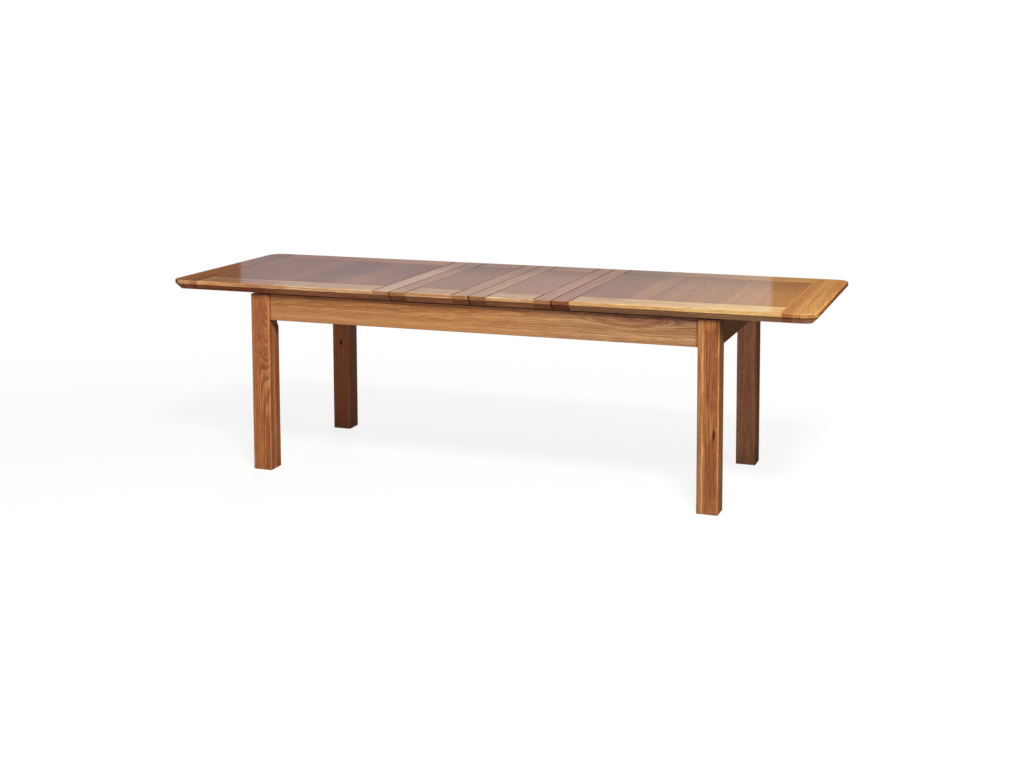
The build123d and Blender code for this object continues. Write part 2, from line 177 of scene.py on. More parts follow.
def oak_figure_group():
    """Solid oak. The board is cut from a log whose pith is the X axis: growth rings are cylinders round
    that axis, bent by slow noise, and pores, fibres and ray flecks are noise stretched along the log,
    along the rings or along its radius, so that every face of a board agrees with the next."""
    tree, given, out = new_group(
        "oak_figure",
        [(VECTOR, "Board"),
         (FLOAT, "Seed", "Ring Width", "Wander", "Figure", "Streak", "Fleck", "Pores", "Swell"),
         (COLOUR, "Light", "Dark", "Heart")],
        [(COLOUR, "Color"), (FLOAT, "Grain", "Height")],
    )
    board, seed = given["Board"], given["Seed"]
    shift = tree.scale(tree.join(seed, seed, seed), SEED_SHIFT)

    def cloud(scales, detail=2.0, roughness=0.5):
        return tree.noise(tree.vector("ADD", tree.scale(board, scales), shift), detail, roughness)

    # Which ring a point is in, and how far through it
    x, y, z = tree.parts(board)
    slow = tree.less(cloud(SLOW_BEND), 0.5)
    quick = tree.less(cloud(QUICK_BEND), 0.5)
    bend = tree.times(tree.times_plus(quick, 0.16, slow), given["Wander"])
    distance = tree.vector("LENGTH", tree.join(0.0, y, z))
    radius = tree.math("ADD", tree.times_plus(bend, 2.0, distance), given["Swell"])
    rings = tree.math("DIVIDE", radius, given["Ring Width"])
    uneven = tree.noise(tree.times_plus(rings, 0.21, seed), 1.0, kind="1D")
    rings = tree.math("ADD", rings, tree.times(uneven, 2.5))
    part = tree.math("FRACT", rings)
    early = tree.times(tree.ramp(part, 0.0, 0.14), tree.ramp(part, 0.2, 0.8, 1.0, 0.0))

    # The noises: good and poor years, clouds of heartwood, streaks, fibres, pores and flecks
    years = tree.noise(tree.times_plus(rings, 0.33, seed), 2.0, kind="1D")
    broad = cloud(HEART_CLOUDS, 3.0)
    streaks = tree.times(tree.less(cloud(STREAKS, 4.0, 0.64), 0.5), given["Streak"])
    fibre = cloud(FIBRES, 3.0, 0.6)
    pores = tree.ramp(cloud(PORES, 1.0), 0.56, 0.72)
    pores = tree.times(pores, tree.ramp(early, 0.0, 1.0, 0.3, 1.0, False))
    turn = tree.times(tree.math("ARCTAN2", z, y), distance)
    ray = tree.vector("ADD", tree.scale(tree.join(x, turn, distance), RAY_FLECKS), shift)
    fleck = tree.times(tree.ramp(tree.noise(ray, 1.0), 0.6, 0.7), given["Fleck"])

    # From light wood to dark, then heartwood, pores and flecks over it
    level = tree.times_plus(tree.less(years, 0.5), given["Streak"], 0.42)
    level = tree.times_plus(streaks, 2.2, level)
    threads = tree.times(tree.less(fibre, 0.5), given["Streak"])
    level = tree.times_plus(threads, 1.6, level)
    level = tree.times_plus(early, given["Figure"], level, clamp=True)
    wood = tree.mix(level, given["Light"], given["Dark"])
    heart = tree.times(tree.ramp(broad, 0.42, 0.66), 0.7)
    wood = tree.mix(heart, wood, given["Heart"])
    wood = tree.mix(tree.times(pores, given["Pores"]), wood, tree.tint(given["Dark"], PORE_TINT))
    wood = tree.mix(fleck, wood, tree.tint(given["Light"], FLECK_TINT))
    tree.feed(out["Color"], wood)
    grain = tree.math("MAXIMUM", tree.times(early, 0.5), pores)
    tree.feed(out["Grain"], grain)
    height = tree.times_plus(pores, -1.0, tree.times(fibre, 0.35))
    tree.feed(out["Height"], tree.times_plus(early, -0.3, height))


def staves_group():
    """Boards glued side by side across one axis: which board a point is in, as a step of the log and a
    shade of its own, and the thin glue line between neighbours."""
    tree, given, out = new_group(
        "staves",
        [(FLOAT, "Across", "Start", "Width", "Seed")],
        [(VECTOR, "Step"), (FLOAT, "Shade", "Glue")],
    )
    place = tree.math("DIVIDE", tree.less(given["Across"], given["Start"]), given["Width"])
    sway = tree.math("SINE", tree.times(place, 2.3))
    place = tree.times_plus(sway, 0.13, place)
    index = tree.math("FLOOR", place)
    which = tree.times_plus(given["Seed"], 3.1, index)
    chance = tree.node("ShaderNodeTexWhiteNoise", {"W": which}, noise_dimensions="1D")
    tree.feed(out["Step"], chance.outputs["Color"])
    tree.feed(out["Shade"], chance.outputs["Value"])
    side = tree.math("PINGPONG", place, 0.5)
    tree.feed(out["Glue"], tree.ramp(tree.times(side, given["Width"]), 0.0002, 0.0006, 1.0, 0.0))


def end_grain_group():
    """Darkens wood where a face cuts across the grain and drinks the lacquer."""
    tree, given, out = new_group(
        "end_grain",
        [(COLOUR, "Color"), (VECTOR, "Normal", "Axis"), (COLOUR, "Tint"), (FLOAT, "Amount")],
        [(COLOUR, "Color"), (FLOAT, "Mask")],
    )
    across = tree.math("ABSOLUTE", tree.vector("DOT_PRODUCT", given["Normal"], given["Axis"]))
    mask = tree.times(tree.ramp(across, 0.45, 0.8), given["Amount"])
    tree.feed(out["Color"], tree.mix(mask, given["Color"], tree.tint(given["Color"], given["Tint"])))
    tree.feed(out["Mask"], mask)


def arris_group():
    """Eased edges: the face's own normal is compared with the one it would have with its edges rounded,
    which gives a mask of the edges, broken up by noise as hands and sandpaper leave it, where the
    surface turns to its rubbed colour. On the oak this lighter colour is partly wear and partly a painted
    highlight along the arrises."""
    tree, given, out = new_group(
        "arris",
        [(COLOUR, "Color"), (VECTOR, "Position"), (FLOAT, "Width"), (COLOUR, "Rubbed"), (FLOAT, "Amount")],
        [(COLOUR, "Color"), (VECTOR, "Normal")],
    )
    rounded = tree.node("ShaderNodeBevel", {"Radius": given["Width"]}, samples=6).outputs[0]
    flat = tree.node("ShaderNodeNewGeometry").outputs["Normal"]
    mask = tree.ramp(tree.vector("DOT_PRODUCT", rounded, flat), 0.995, 0.8)
    # The breakup never falls below 0.6, so that the painted highlight runs on along the edge
    rubbed = tree.ramp(tree.noise(tree.scale(given["Position"], (45, 45, 45)), 3.0), 0.3, 0.62, 0.6, 1.0)
    mask = tree.times(tree.times(mask, rubbed), given["Amount"])
    tree.feed(out["Color"], tree.mix(mask, given["Color"], given["Rubbed"]))
    tree.feed(out["Normal"], rounded)


def swell_group():
    """A swelling in the log, as over a buried knot: 1 at its middle, falling off as an oval bell, which
    bends the growth rings into ovals round it."""
    tree, given, out = new_group("swell", [(VECTOR, "Position", "Place", "Size")], [(FLOAT, "Swell")])
    away = tree.vector("DIVIDE", tree.vector("SUBTRACT", given["Position"], given["Place"]), given["Size"])
    square = tree.vector("DOT_PRODUCT", away, away)
    tree.feed(out["Swell"], tree.math("EXPONENT", tree.times(square, -1.0)))


def stripe_group():
    """One streak along the grain: a soft line at a place across the board, which wanders with noise
    along the log and fades in and out, or runs even and straight where it has no wave."""
    tree, given, out = new_group(
        "stripe",
        [(VECTOR, "Board"), (FLOAT, "Across", "Place", "Width", "Wave", "Seed")],
        [(FLOAT, "Mask")],
    )
    along = tree.times_plus(tree.parts(given["Board"])[0], 6.0, given["Seed"])
    drift = tree.less(tree.noise(along, 3.0, 0.6, kind="1D"), 0.5)
    place = tree.times_plus(drift, given["Wave"], given["Place"])
    away = tree.math("ABSOLUTE", tree.less(given["Across"], place))
    line = tree.ramp(tree.math("DIVIDE", away, given["Width"]), 0.35, 1.0, 1.0, 0.0)
    fade = tree.noise(tree.times_plus(along, 0.7, 5.2), 1.0, kind="1D")
    fade = tree.ramp(fade, 0.32, 0.5, 0.35, 1.0)
    fading = tree.times(given["Wave"], 2000.0, clamp=True)
    fade = tree.times_plus(tree.less(fade, 1.0), fading, 1.0)
    tree.feed(out["Mask"], tree.times(line, fade))


def joints_group():
    """The dark line that finish and dust leave where boards meet: a mask that is 1 at the limits of a
    box in X and Y and falls off inside it, a quarter wider at the front and back."""
    tree, given, out = new_group(
        "joints",
        [(VECTOR, "Position", "Low", "High"), (FLOAT, "Width")],
        [(FLOAT, "Mask")],
    )
    above = tree.parts(tree.vector("SUBTRACT", given["Position"], given["Low"]))
    below = tree.parts(tree.vector("SUBTRACT", given["High"], given["Position"]))
    near_x = tree.math("MINIMUM", above[0], below[0])
    near_y = tree.times(tree.math("MINIMUM", above[1], below[1]), 0.8)
    near = tree.math("DIVIDE", tree.math("MINIMUM", near_x, near_y), given["Width"])
    tree.feed(out["Mask"], tree.ramp(near, 0.4, 1.0, 1.0, 0.0))


def patina_group():
    """Slow changes of gloss and shade that handling and wiping leave on a finished surface: noise of
    about eight swells to a metre."""
    tree, given, out = new_group(
        "patina",
        [(COLOUR, "Color"), (VECTOR, "Position"), (FLOAT, "Roughness", "Spread", "Shade")],
        [(COLOUR, "Color"), (FLOAT, "Roughness")],
    )
    smear = tree.noise(tree.scale(given["Position"], (7, 9, 8)), 4.0, 0.6)
    level = tree.less(smear, 0.5)
    rough = tree.times_plus(level, given["Spread"], given["Roughness"], clamp=True)
    tree.feed(out["Roughness"], rough)
    tone = tree.times_plus(level, given["Shade"], 1.0)
    tree.feed(out["Color"], tree.vector("MULTIPLY", given["Color"], tree.join(tone, tone, tone)))


def build_groups():
    """The effects that several materials share, each built once."""
    for build in (oak_figure_group, staves_group, end_grain_group, arris_group, swell_group, stripe_group,
                  joints_group, patina_group):
        build()


def bare_tree(owner):
    """The shader tree of a new material or world, emptied."""
    owner.use_nodes = True
    owner.node_tree.nodes.clear()
    return Tree(owner.node_tree)


def new_material(name):
    """An empty material: (material, its tree, its principled shader's inputs)."""
    material = bpy.data.materials.new(name)
    tree = bare_tree(material)
    shader = tree.node("ShaderNodeBsdfPrincipled")
    tree.node("ShaderNodeOutputMaterial", {"Surface": shader.outputs[0]})
    return material, tree, shader.inputs


def dress(name, material):
    """Give a frame node its material."""
    slots = NODES[name].material_slots
    if not slots:
        raise RuntimeError(f"{name} has no material slot")
    for slot in slots:
        slot.material = material


# ---------------------------------------------------------------- oak

AXES = {"X": (1, 0, 0), "Y": (0, 1, 0), "Z": (0, 0, 1)}
# What multiplies the wood at a glue line, at a joint, and round a knot, and the knot's own colour
GLUE_TINT = (0.45, 0.36, 0.3)
JOINT_TINT = (0.18, 0.09, 0.07)
KNOT_TINT = (0.5, 0.38, 0.32)
KNOT_COLOUR = (0.022, 0.012, 0.008)
# How far apart in the log the staves of a board are cut, in metres: along the grain and across it
STAVE_APART = (2.0, 0.16)
# The line at a seam between two pieces, as a share of the line at a joint
SEAM_SHARE = 0.55
# How far out of the way the line is put on a side that has no joint, in metres
NO_JOINT = 1.0


def log_turn(grain, lean):
    """The turn that lays the X axis of the log along the grain, with a lean two ways in degrees."""
    first, second = (math.radians(angle) for angle in lean)
    if grain == "X":
        return (0.0, first, second)
    if grain == "Y":
        return (0.0, first, math.pi / 2 + second)
    return (0.0, first - math.pi / 2, second)


def log_place(tree, spot, pith, grain, lean):
    """Where a point lies in the log that a piece is cut from."""
    laid = {"Vector": spot, "Location": tuple(pith), "Rotation": log_turn(grain, lean)}
    return tree.node("ShaderNodeMapping", laid, vector_type="TEXTURE").outputs[0]


class Board:
    """How one board was cut: which way its grain runs, the seed of its log, where the log's pith lies from
    the board's middle in metres, and how far the log leans in degrees. The places of marks are measured
    from the board's middle too."""
    shade = 1.0         # brightness of its wood
    tone = (1, 1, 1)    # what multiplies its colours
    heart = 0.5         # share of reddish heartwood
    pale = 0.0          # share of the palest wood
    ring = 0.003        # width of a year's ring
    wander = 0.006      # how far the rings stray
    figure = 0.5        # strength of the rings
    streak = 0.9        # strength of the streaks and fibres
    fleck = 0.35        # strength of the ray flecks
    ends = 0.8          # how dark the end grain is
    staves = None       # for a glued-up board: the axis across its staves, and their width
    spread = 0.1        # how much its staves differ in shade
    edge = 1.0          # how strongly its arrises turn lighter: partly wear, partly painted highlight
    contrast = 1.0      # how far its light and dark wood lie apart
    swells = ()         # swellings of the log: place, size, height
    stripes = ()        # streaks: axis across them, place on it, width, wave, tint, amount
    patches = ()        # slow changes of tone: place, size, tint
    knots = ()          # place, size
    joints = ()         # sides that meet a board of the same piece: left, right, front, back
    seams = ()          # sides that meet another piece

    def __init__(self, grain, seed, pith, lean=(0.4, 0.3), **cut):
        self.grain = grain
        self.seed = seed
        self.pith = pith
        self.lean = lean
        for name, value in cut.items():
            if not hasattr(Board, name):
                raise TypeError(f"a board has no {name}")
            setattr(self, name, value)


def oak_colours(cut, oak):
    """The light wood, dark wood and heartwood of a board. Contrast lightens the first and darkens the
    second, blue most."""
    light = between(oak.light, oak.pale, cut.pale)
    dark = between(oak.dark, oak.light, 0.25 * cut.pale)
    heart = between(light, oak.heart, cut.heart)
    more = cut.contrast - 1
    stretched = ((light, (0.2, 0.2, 0.2)), (dark, (-0.2, -0.36, -0.42)), (heart, (0, 0, 0)))
    return [times(shaded(times(cut.tone, colour), cut.shade), [1 + share * more for share in shares])
            for colour, shares in stretched]


def glued_staves(tree, spot, low, cut):
    """The log's place for each stave of a glued-up board, and the staves' own shades and glue lines."""
    axis, width = cut.staves
    across = "XYZ".index(axis)
    stave = tree.group("staves", {"Across": tree.parts(spot)[across], "Start": low[across], "Width": width,
                                  "Seed": cut.seed})
    reach = [STAVE_APART[0 if cut.grain == way else 1] for way in "XYZ"]
    step = tree.scale(tree.vector("SUBTRACT", stave["Step"], (0.5, 0.5, 0.5)), reach)
    return tree.vector("ADD", spot, step), stave


def stave_shades(tree, colour, stave, spread):
    """Each stave's own shade, redder where it is darker, and the glue lines between them."""
    tone = tree.times_plus(tree.less(stave["Shade"], 0.5), 2 * spread, 1.0)
    tones = tree.join(tone, tree.math("POWER", tone, 1.3), tree.math("POWER", tone, 1.5))
    colour = tree.vector("MULTIPLY", colour, tones)
    return tree.mix(tree.times(stave["Glue"], 0.7), colour, tree.tint(colour, GLUE_TINT))


def oval(tree, spot, middle, place, size):
    """A soft oval in the wood: 1 at a place from the board's middle, falling off over its size."""
    place = tuple(middle + Vector(place))
    return tree.group("swell", {"Position": spot, "Place": place, "Size": size})["Swell"]


def board_marks(tree, spot, board, middle, cut, colour):
    """The stripes, patches and knots of a board, over its figure."""
    for number, (axis, place, width, wave, tint, amount) in enumerate(cut.stripes):
        index = "XYZ".index(axis)
        stripe = tree.group("stripe", {
            "Board": board, "Across": tree.parts(spot)[index], "Place": middle[index] + place,
            "Width": width, "Wave": wave, "Seed": cut.seed + 2.3 * number,
        })
        colour = tree.mix(tree.times(stripe["Mask"], amount), colour, tree.tint(colour, tint))
    for place, size, tint in cut.patches:
        colour = tree.mix(oval(tree, spot, middle, place, size), colour, tree.tint(colour, tint))
    for place, size in cut.knots:
        knot = oval(tree, spot, middle, place, size)
        colour = tree.mix(tree.ramp(knot, 0.05, 0.45), colour, tree.tint(colour, KNOT_TINT))
        colour = tree.mix(tree.ramp(knot, 0.4, 0.75), colour, four(KNOT_COLOUR))
    return colour


def joint_lines(tree, places, box, cut, width, colour, lacquer):
    """The dark lines where a board meets others, on its top where they are of the same piece, and the
    lacquer that stops there: (colour, lacquer)."""
    low, high = box
    for sides, line_width in ((cut.joints, width), (cut.seams, SEAM_SHARE * width)):
        if not sides:
            continue
        lows = [low[i] - (0 if side in sides else NO_JOINT) for i, side in enumerate(("left", "front"))]
        highs = [high[i] + (0 if side in sides else NO_JOINT) for i, side in enumerate(("right", "back"))]
        mask = tree.group("joints", {"Position": places["Object"], "Width": line_width,
                                     "Low": (*lows, 0), "High": (*highs, 0)})["Mask"]
        if sides is cut.joints:
            mask = tree.times(mask, tree.ramp(tree.parts(places["Normal"])[2], 0.5, 0.9))
        colour = tree.mix(tree.times(mask, 0.95), colour, tree.tint(colour, JOINT_TINT))
        lacquer = tree.times(lacquer, tree.times_plus(mask, -0.9, 1.0))
    return colour, lacquer


def oak_material(name, cut, oak):
    """Lacquered oak for one board, or for boards glued side by side, cut as the board says."""
    low, high = BOXES[name]
    middle = (low + high) / 2
    material, tree, shader = new_material(f"oak_{name}")
    places = tree.node("ShaderNodeTexCoord").outputs
    spot = places["Object"]
    logs, stave = glued_staves(tree, spot, low, cut) if cut.staves else (spot, None)
    board = log_place(tree, logs, middle + Vector(cut.pith), cut.grain, cut.lean)
    bend = 0.0
    for place, size, height in cut.swells:
        bend = tree.times_plus(oval(tree, spot, middle, place, size), height, bend)
    light, dark, heart = oak_colours(cut, oak)
    wood = tree.group("oak_figure", {
        "Board": board, "Seed": cut.seed, "Ring Width": cut.ring, "Wander": cut.wander, "Figure": cut.figure,
        "Streak": cut.streak, "Fleck": cut.fleck, "Pores": 0.5, "Swell": bend, "Light": four(light),
        "Dark": four(dark), "Heart": four(heart),
    })
    colour = board_marks(tree, spot, board, middle, cut, wood["Color"])
    if stave:
        colour = stave_shades(tree, colour, stave, cut.spread)
    ends = tree.group("end_grain", {"Color": colour, "Normal": places["Normal"], "Axis": AXES[cut.grain],
                                    "Tint": four(oak.ends), "Amount": cut.ends})
    patina = tree.group("patina", {"Color": ends["Color"], "Position": spot, "Roughness": oak.roughness,
                                   "Spread": 0.12, "Shade": 0.12})
    # The lighter colour of the arrises: partly wear, partly a painted highlight along them
    rubbed = shaded(times(cut.tone, between(oak.edge, oak.light, 0.5 * cut.heart)), cut.shade)
    edge = tree.group("arris", {"Color": patina["Color"], "Position": spot, "Width": oak.arris,
                                "Rubbed": four(rubbed), "Amount": cut.edge})
    lacquer = tree.times_plus(ends["Mask"], -0.5, 1.0)
    colour, lacquer = joint_lines(tree, places, (low, high), cut, oak.joint, edge["Color"], lacquer)
    rough = tree.times_plus(wood["Grain"], 0.1, patina["Roughness"])
    tree.feed(shader["Base Color"], colour)
    tree.feed(shader["Roughness"], tree.times_plus(ends["Mask"], 0.08, rough))
    tree.feed(shader["Normal"], tree.node("ShaderNodeBump", {
        "Strength": 0.2, "Distance": oak.pore_depth, "Height": wood["Height"], "Normal": edge["Normal"],
    }).outputs[0])
    tree.feed(shader["Coat Weight"], lacquer)
    shader["Coat Roughness"].default_value = oak.lacquer
    shader["Specular IOR Level"].default_value = 0.15
    dress(name, material)


def cut_oak(table):
    """Make the oak of each board in a table of boards."""
    oak = bpy.context.scene.extension_table_oak
    for name, cut in table.items():
        oak_material(name, cut, oak)


# Tints of a pale streak; of a dark line, which is a glue line in the end boards and painted shade under
# the band of the top's edge; and of the painted shade on the aprons' ends beside the legs
PALE = (1.35, 1.5, 1.75)
GLUE_AND_SHADE_LINE = (0.55, 0.42, 0.4)
SHADE_BESIDE_LEG = (0.6, 0.48, 0.45)
# Where the front apron meets the legs, from its middle in metres
LEG_LINE = 0.882
# A patch, as boards have them, of painted shade that darkens the back end of some boards of the top,
# for the darker reflection there
PAINTED_FAR_SHADE = ((0.0, 0.31, 0.0), (0.5, 0.15, 0.1), (0.66, 0.6, 0.63))
# Widths of the staves in an end board and in a panel
END_STAVE = 0.066
PANEL_STAVE = 0.095


def painted_edge_shading(tint):
    """Painted shading on a board's moulded edge, as stripes: the dark line under its band is painted shade,
    and the tint of the sloped face below the band is painted light and shade on that face.
    """
    return [("Z", 0.0025, 0.0034, 0.0, GLUE_AND_SHADE_LINE, 0.9), ("Z", -0.014, 0.019, 0.0, tint, 1.0)]


LEGS = {
    "leg_front_left": Board(
        "Z", 3.1, (0.03, 0.045, 0), (0, -2), shade=1.08, tone=(1.03, 0.95, 1.05), heart=0.9, ring=0.0028,
        figure=0.75, wander=0.0015, streak=1.1, swells=[((0.028, -0.03, 0.36), (0.032, 0.2, 0.26), 0.036)],
        stripes=[("X", 0.0382, 0.0028, 0.0004, (1.5, 1.6, 1.6), 0.9),
                 ("X", -0.036, 0.003, 0.0005, PALE, 0.8),
                 ("X", 0.008, 0.022, 0.008, (0.9, 0.78, 0.76), 0.8),
                 ("Y", -0.028, 0.012, 0.004, (0.8, 0.6, 0.6), 0.8),
                 ("Y", -0.004, 0.008, 0.003, (1.5, 1.6, 1.7), 0.9),
                 ("Y", 0.018, 0.012, 0.002, (0.65, 0.5, 0.55), 0.8)]),
    "leg_front_right": Board(
        "Z", 8.4, (0.05, 0.02, 0), (0.3, 0.3), shade=0.95, heart=0.7, streak=1.4,
        stripes=[("X", -0.022, 0.0065, 0.004, (1.5, 1.75, 2.0), 1.0),
                 ("X", 0.012, 0.031, 0.006, (0.74, 0.58, 0.62), 1.0),
                 ("X", -0.006, 0.004, 0.004, (0.7, 0.55, 0.5), 0.7),
                 ("X", 0.038, 0.0042, 0.0004, (1.7, 1.8, 1.8), 1.0)],
        knots=[((0.0222, -0.041, -0.064), (0.004, 0.02, 0.022))],
        # Painted shadow of the top on the upper end of the leg's outer side
        patches=[((0.043, 0, 0.345), (0.014, 0.2, 0.06), (0.28, 0.27, 0.28))]),
    "leg_back_left": Board(
        "Z", 5.7, (-0.05, 0.07, 0), (0.8, 0.6), shade=1.5, tone=(1.02, 0.92, 1.15), heart=0.95, fleck=0.1,
        # A painted cool reflection that makes the leg's outer side bluer
        stripes=[("X", 0.041, 0.006, 0.0, (0.88, 1.15, 1.6), 1.0)],
        knots=[((0.0, -0.041, 0.032), (0.0055, 0.02, 0.011))]),
    "leg_back_right": Board(
        "Z", 11.2, (0.01, 0.12, 0), (0.5, 0.7), shade=1.15, tone=(1.03, 1.0, 1.4), heart=1.0, fleck=0.5,
        streak=0.6, figure=0.3,
        # Painted light on the front face and painted shade on the outer side
        stripes=[("Y", -0.041, 0.006, 0.0, (1.5, 1.8, 2.0), 1.0),
                 ("X", 0.041, 0.006, 0.0, (0.66, 0.56, 0.5), 1.0)],
        # Painted shade over the lower end of the leg, where the table shades it
        patches=[((0, 0, -0.364), (0.2, 0.2, 0.075), (0.4, 0.38, 0.36))]),
}
APRONS = {
    "apron_front": Board(
        "X", 2.6, (0, 0.06, 0.035), (0.25, 0.4), shade=1.1, tone=(0.97, 1.0, 1.03), heart=0.45, pale=0.2,
        ring=0.0022, streak=1.0, wander=0.003, figure=0.62, fleck=0.12,
        swells=[((0.63, 0, 0.062), (0.1, 0.3, 0.05), -0.028), ((-0.3, 0, -0.065), (0.12, 0.3, 0.025), 0.02)],
        stripes=[("Z", -0.03, 0.008, 0.02, PALE, 0.45),
                 # Painted light along the apron's top edge, which eases the shade that the top casts there
                 ("Z", 0.046, 0.02, 0.01, (1.3, 1.25, 1.25), 1.0),
                 ("X", 0.75, 0.8, 0.0, (0.92, 1.0, 1.16), 1.0),
                 # Painted shade on the apron's ends, where they lie back from the legs' faces
                 ("X", -LEG_LINE, 0.007, 0.0, SHADE_BESIDE_LEG, 0.8),
                 ("X", LEG_LINE, 0.007, 0.0, SHADE_BESIDE_LEG, 0.8)],
        # Painted shadow of the top's overhang on the upper right of the apron
        patches=[((0.78, 0, 0.055), (0.29, 0.3, 0.045), (0.6, 0.55, 0.75))]),
    "apron_back": Board("X", 6.9, (0, 0.06, 0.02), (0.6, 0.4)),
    "apron_left": Board("Y", 4.2, (0.05, 0, 0.03), (0.7, 0.4)),
    # Its darker, warmer tone is painted shade, for the deep shade under the overhanging end of the top
    "apron_right": Board("Y", 9.3, (0.06, 0, -0.02), (0.4, 0.6), shade=0.85, tone=(1, 0.7, 0.4), fleck=0.1),
}

# What tells the halves of the top apart. Figured is how strongly the panel is, and cut ends how dark the
# cross rail's end grain is. Far shaded names the boards with painted shade at their back end, for the
# darker reflection there. The tints are of the end board's inner line, of the painted highlight along its
# front rim, of the painted shade on the sloped face under the band, of the outer ends of the rails, of the
# outer corner at the back, of the outer end of the front edge, and of the panel near the seam. On the left
# half the brighter, bluer shades and tones of the rails and the cross rail are painted sheen, for the
# stronger reflection on them, and the tint of the rails' outer ends takes it off again where they reflect
# no card.
HALVES = {
    "left": dict(
        seed=13.0, figured=0.4, cut_ends=0.85, far_shaded=("end", "cross"),
        shades=dict(end=1.1, cross=1.28, front=1.2, back=1.0, panel=0.78),
        tones=dict(end=(1.02, 0.93, 0.92), cross=(1.06, 1.36, 2.1), rails=(1.02, 1.16, 1.45),
                   panel=(1.02, 0.94, 1.05)),
        tints=dict(line=(1.75, 2.15, 2.0), rim_highlight=(1.8, 2.6, 3.6), bevel=(0.97, 0.68, 0.66),
                   rail_ends=(0.72, 0.55, 0.5), corner=(1, 1, 1), front=(1.5, 1.55, 1.3),
                   near_seam=(1.35, 1.5, 1.45))),
    "right": dict(
        seed=22.0, figured=1.3, cut_ends=0.5, far_shaded=("panel",),
        shades=dict(end=1.1, cross=0.62, front=1.11, back=0.58, panel=0.75),
        tones=dict(end=(1.02, 1.12, 0.94), cross=(1.08, 0.88, 0.95), rails=(1, 1.08, 1.05),
                   panel=(1.02, 0.94, 0.76)),
        tints=dict(line=(1.75, 2.1, 2.3), rim_highlight=(1.15, 1.25, 1.2), bevel=(0.88, 0.88, 1.15),
                   rail_ends=(1.12, 1.25, 1.2), corner=(0.68, 0.5, 0.52), front=(1, 1, 1),
                   near_seam=(1, 1, 1))),
}


def half_boards(side, seed, figured, cut_ends, far_shaded, shades, tones, tints):
    """The boards of one half of the top: which side, the seed of its first log, and its own looks as the
    table of halves gives them."""
    half = f"{side}_top"
    inner, sign = ("right", -1) if side == "left" else ("left", 1)
    # Painted shade at the back end of the boards that the table names for it
    dark = {board: [PAINTED_FAR_SHADE] if board in far_shaded else [] for board in shades}
    # Across the end board: its inner stave, the glue line, a painted highlight along the outer edge, painted
    # warm light on its outer end, and the line at its joint; then a painted highlight along its front edge,
    # and the painted shading under the band
    strips = [("X", -0.05 * sign, 0.034, 0.016, (0.74, 0.54, 0.52), 1.0),
              ("X", 0.002 * sign, 0.0025, 0.0005, GLUE_AND_SHADE_LINE, 0.9),
              ("X", 0.057 * sign, 0.007, 0.0, (1.35, 1.35, 1.15), 1.0),
              ("X", 0.067 * sign, 0.005, 0.0, (1.25, 0.9, 0.85), 1.0),
              ("X", -0.0645 * sign, 0.005, 0.0, tints["line"], 1.0),
              ("Y", -0.44, 0.007, 0.0, tints["rim_highlight"], 1.0),
              *painted_edge_shading((1.65, 1.85, 3.4))]
    swirls = [((0.03 * sign, 0.2, 0.02), (0.022, 0.13, 0.1), 0.018),
              ((0.026 * sign, -0.18, 0.02), (0.02, 0.16, 0.1), 0.016)]
    curls = [((0.33 * sign, 0.14, 0), (0.06, 0.13, 0.1), 0.03),
             ((0.34 * sign, -0.1, 0), (0.05, 0.11, 0.1), 0.025)]
    rail_ends = ("X", 0.23 * sign, 0.26, 0.0)
    return {
        f"{half}_end_board": Board(
            "Y", seed, (0.02 * sign, 0, -0.07), (1.2, 0.6), shade=shades["end"], tone=tones["end"],
            heart=0.6, staves=("X", END_STAVE), figure=0.55, ring=0.0036, ends=0.25, fleck=0.1, edge=0.35,
            contrast=1.1 + 0.15 * figured, stripes=strips, swells=swirls,
            patches=[((0.06 * sign, 0.25, 0.02), (0.06, 0.3, 0.1), tints["corner"]), *dark["end"]]),
        f"{half}_cross_rail": Board(
            "Y", seed + 1.3, (0.03, 0, -0.09), (0.5, 0.4), shade=shades["cross"], tone=tones["cross"],
            pale=0.4, joints=(side,), seams=(inner,), ends=cut_ends, patches=dark["cross"]),
        f"{half}_front_rail": Board(
            "X", seed + 2.1, (0, 0.04, -0.10), (0.4, 0.5), shade=shades["front"], tone=tones["rails"],
            pale=0.8, heart=0.3, joints=(inner, "back"),
            # Painted shade under the band and on the sloped face below it
            stripes=[(*rail_ends, tints["rail_ends"], 1.0), *painted_edge_shading(tints["bevel"])],
            patches=[((0.36 * sign, -0.067, 0), (0.2, 0.014, 0.1), tints["front"])]),
        f"{half}_back_rail": Board(
            "X", seed + 3.4, (0, -0.03, -0.12), (0.5, 0.3), shade=shades["back"], pale=0.2,
            tone=times(tones["rails"], (1.06, 0.9, 0.86)), joints=(inner, "front"),
            stripes=[(*rail_ends, shaded(tints["rail_ends"], 1.2), 1.0),
                     # Painted shade on the back rail's inner part, none on the left half, for the darker
                     # reflection there
                     ("X", -0.42 * sign, 0.36, 0.0, (0.5, 0.42, 0.42), figured - 0.4)]),
        f"{half}_panel": Board(
            "Y", seed + 4.6, (0, 0, -0.08), (0.8, 0.5), shade=shades["panel"], tone=tones["panel"],
            staves=("X", PANEL_STAVE), ring=0.0034 - 0.001 * figured, contrast=0.8 + 0.6 * figured,
            fleck=0.18, spread=0.16, heart=1.0 - 0.4 * figured, figure=figured,
            streak=0.45 + 0.6 * (figured - 0.35), swells=curls, joints=(inner, "front", "back"),
            stripes=[("X", -0.3 * sign, 0.4, 0.0, (0.83, 0.8, 0.83), 1.0)],
            patches=[((0.33 * sign, 0.25, 0), (0.15, 0.2, 0.1), tints["corner"]), *dark["panel"],
                     ((-0.27 * sign, -0.22, 0), (0.22, 0.17, 0.1), tints["near_seam"])]),
    }


